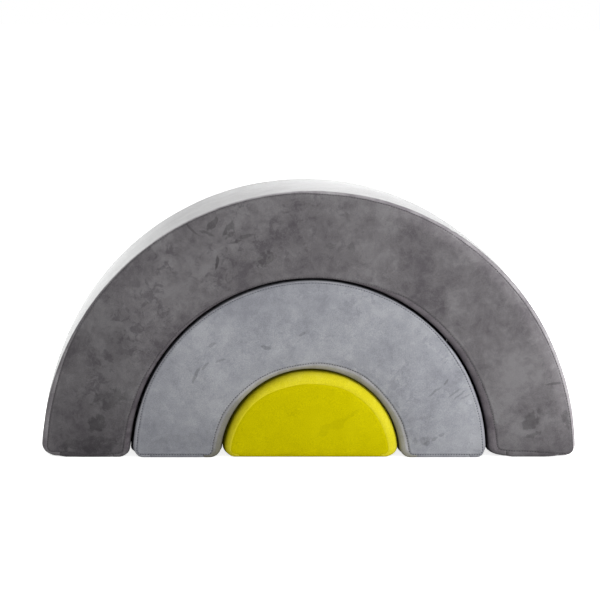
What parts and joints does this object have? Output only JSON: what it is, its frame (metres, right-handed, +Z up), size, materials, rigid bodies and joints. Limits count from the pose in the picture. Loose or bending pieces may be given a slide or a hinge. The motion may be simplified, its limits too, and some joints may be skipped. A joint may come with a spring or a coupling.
{
  "type": "soft play shape",
  "caption": "Nested foam play set: a large arch over a smaller arch over a half moon, each in a zipped velour cover.",
  "frame": {"origin": "on the floor, in the middle of the set", "axes": "+X to the right seen from the front, +Y to the back where the zips are, +Z up"},
  "size_m": [1.198, 0.3101, 0.6],
  "materials": {
    "outer_velour": "dark grey short-pile velour, brushed and soft",
    "outer_zip_tape": "woven zip tape with a nylon coil",
    "middle_velour": "blue grey short-pile velour, brushed and soft",
    "middle_zip_tape": "woven zip tape with a nylon coil",
    "moon_velour": "lime yellow short-pile velour, brushed and soft",
    "moon_zip_tape": "woven zip tape with a nylon coil",
    "foam": null,
    "zip_metal": "satin die-cast zinc"
  },
  "bodies": {
    "outer_arch": {"outer_arch_foam_core": "foam", "outer_arch_front_panel": "outer_velour", "outer_arch_back_panel": "outer_velour", "outer_arch_outer_band": "outer_velour", "outer_arch_inner_band": "outer_velour", "outer_arch_left_foot_panel": "outer_velour", "outer_arch_right_foot_panel": "outer_velour", "outer_arch_zip_inner_tape": "outer_zip_tape", "outer_arch_zip_outer_tape": "outer_zip_tape", "outer_arch_zip_closed_stop": "zip_metal", "outer_arch_zip_open_stop": "zip_metal"},
    "outer_zip_slider": {"outer_arch_zip_slider": "zip_metal"},
    "outer_zip_pull": {"outer_arch_zip_pull": "zip_metal"},
    "middle_arch": {"middle_arch_foam_core": "foam", "middle_arch_front_panel": "middle_velour", "middle_arch_back_panel": "middle_velour", "middle_arch_outer_band": "middle_velour", "middle_arch_inner_band": "middle_velour", "middle_arch_left_foot_panel": "middle_velour", "middle_arch_right_foot_panel": "middle_velour", "middle_arch_zip_inner_tape": "middle_zip_tape", "middle_arch_zip_outer_tape": "middle_zip_tape", "middle_arch_zip_closed_stop": "zip_metal", "middle_arch_zip_open_stop": "zip_metal"},
    "middle_zip_slider": {"middle_arch_zip_slider": "zip_metal"},
    "middle_zip_pull": {"middle_arch_zip_pull": "zip_metal"},
    "half_moon": {"half_moon_foam_core": "foam", "half_moon_front_panel": "moon_velour", "half_moon_back_panel": "moon_velour", "half_moon_curved_band": "moon_velour", "half_moon_base_panel": "moon_velour", "half_moon_zip_lower_tape": "moon_zip_tape", "half_moon_zip_upper_tape": "moon_zip_tape", "half_moon_zip_closed_stop": "zip_metal", "half_moon_zip_open_stop": "zip_metal"},
    "moon_zip_slider": {"half_moon_zip_slider": "zip_metal"},
    "moon_zip_pull": {"half_moon_zip_pull": "zip_metal"}
  },
  "joints": [
    {"name": "middle_arch_pull_out", "type": "slide", "parent": "outer_arch", "child": "middle_arch", "axis": [0, 1, 0], "range_m": [-0.35, 0.35]},
    {"name": "half_moon_pull_out", "type": "slide", "parent": "outer_arch", "child": "half_moon", "axis": [0, 1, 0], "range_m": [-0.7, 0.7]},
    {"name": "outer_zip_run", "type": "hinge", "parent": "outer_arch", "child": "outer_zip_slider", "pos_m": [0, 0.1492, 0], "axis": [0, -1, 0], "range_deg": [0, 159]},
    {"name": "outer_zip_pull_flip", "type": "hinge", "parent": "outer_zip_slider", "child": "outer_zip_pull", "pos_m": [0.41834, 0.1537, 0.07495], "axis": [0.9843, 0, 0.1763], "range_deg": [0, 170]},
    {"name": "middle_zip_run", "type": "hinge", "parent": "middle_arch", "child": "middle_zip_slider", "pos_m": [0, 0.1442, 0], "axis": [0, -1, 0], "range_deg": [0, 155]},
    {"name": "middle_zip_pull_flip", "type": "hinge", "parent": "middle_zip_slider", "child": "middle_zip_pull", "pos_m": [0.21704, 0.1487, 0.04665], "axis": [0.9777, 0, 0.2101], "range_deg": [0, 170]},
    {"name": "moon_zip_run", "type": "slide", "parent": "half_moon", "child": "moon_zip_slider", "axis": [-1, 0, 0], "range_m": [0, 0.228]},
    {"name": "moon_zip_pull_flip", "type": "hinge", "parent": "moon_zip_slider", "child": "moon_zip_pull", "pos_m": [0.114, 0.1437, 0.023], "axis": [0, 0, 1], "range_deg": [0, 170]}
  ]
}
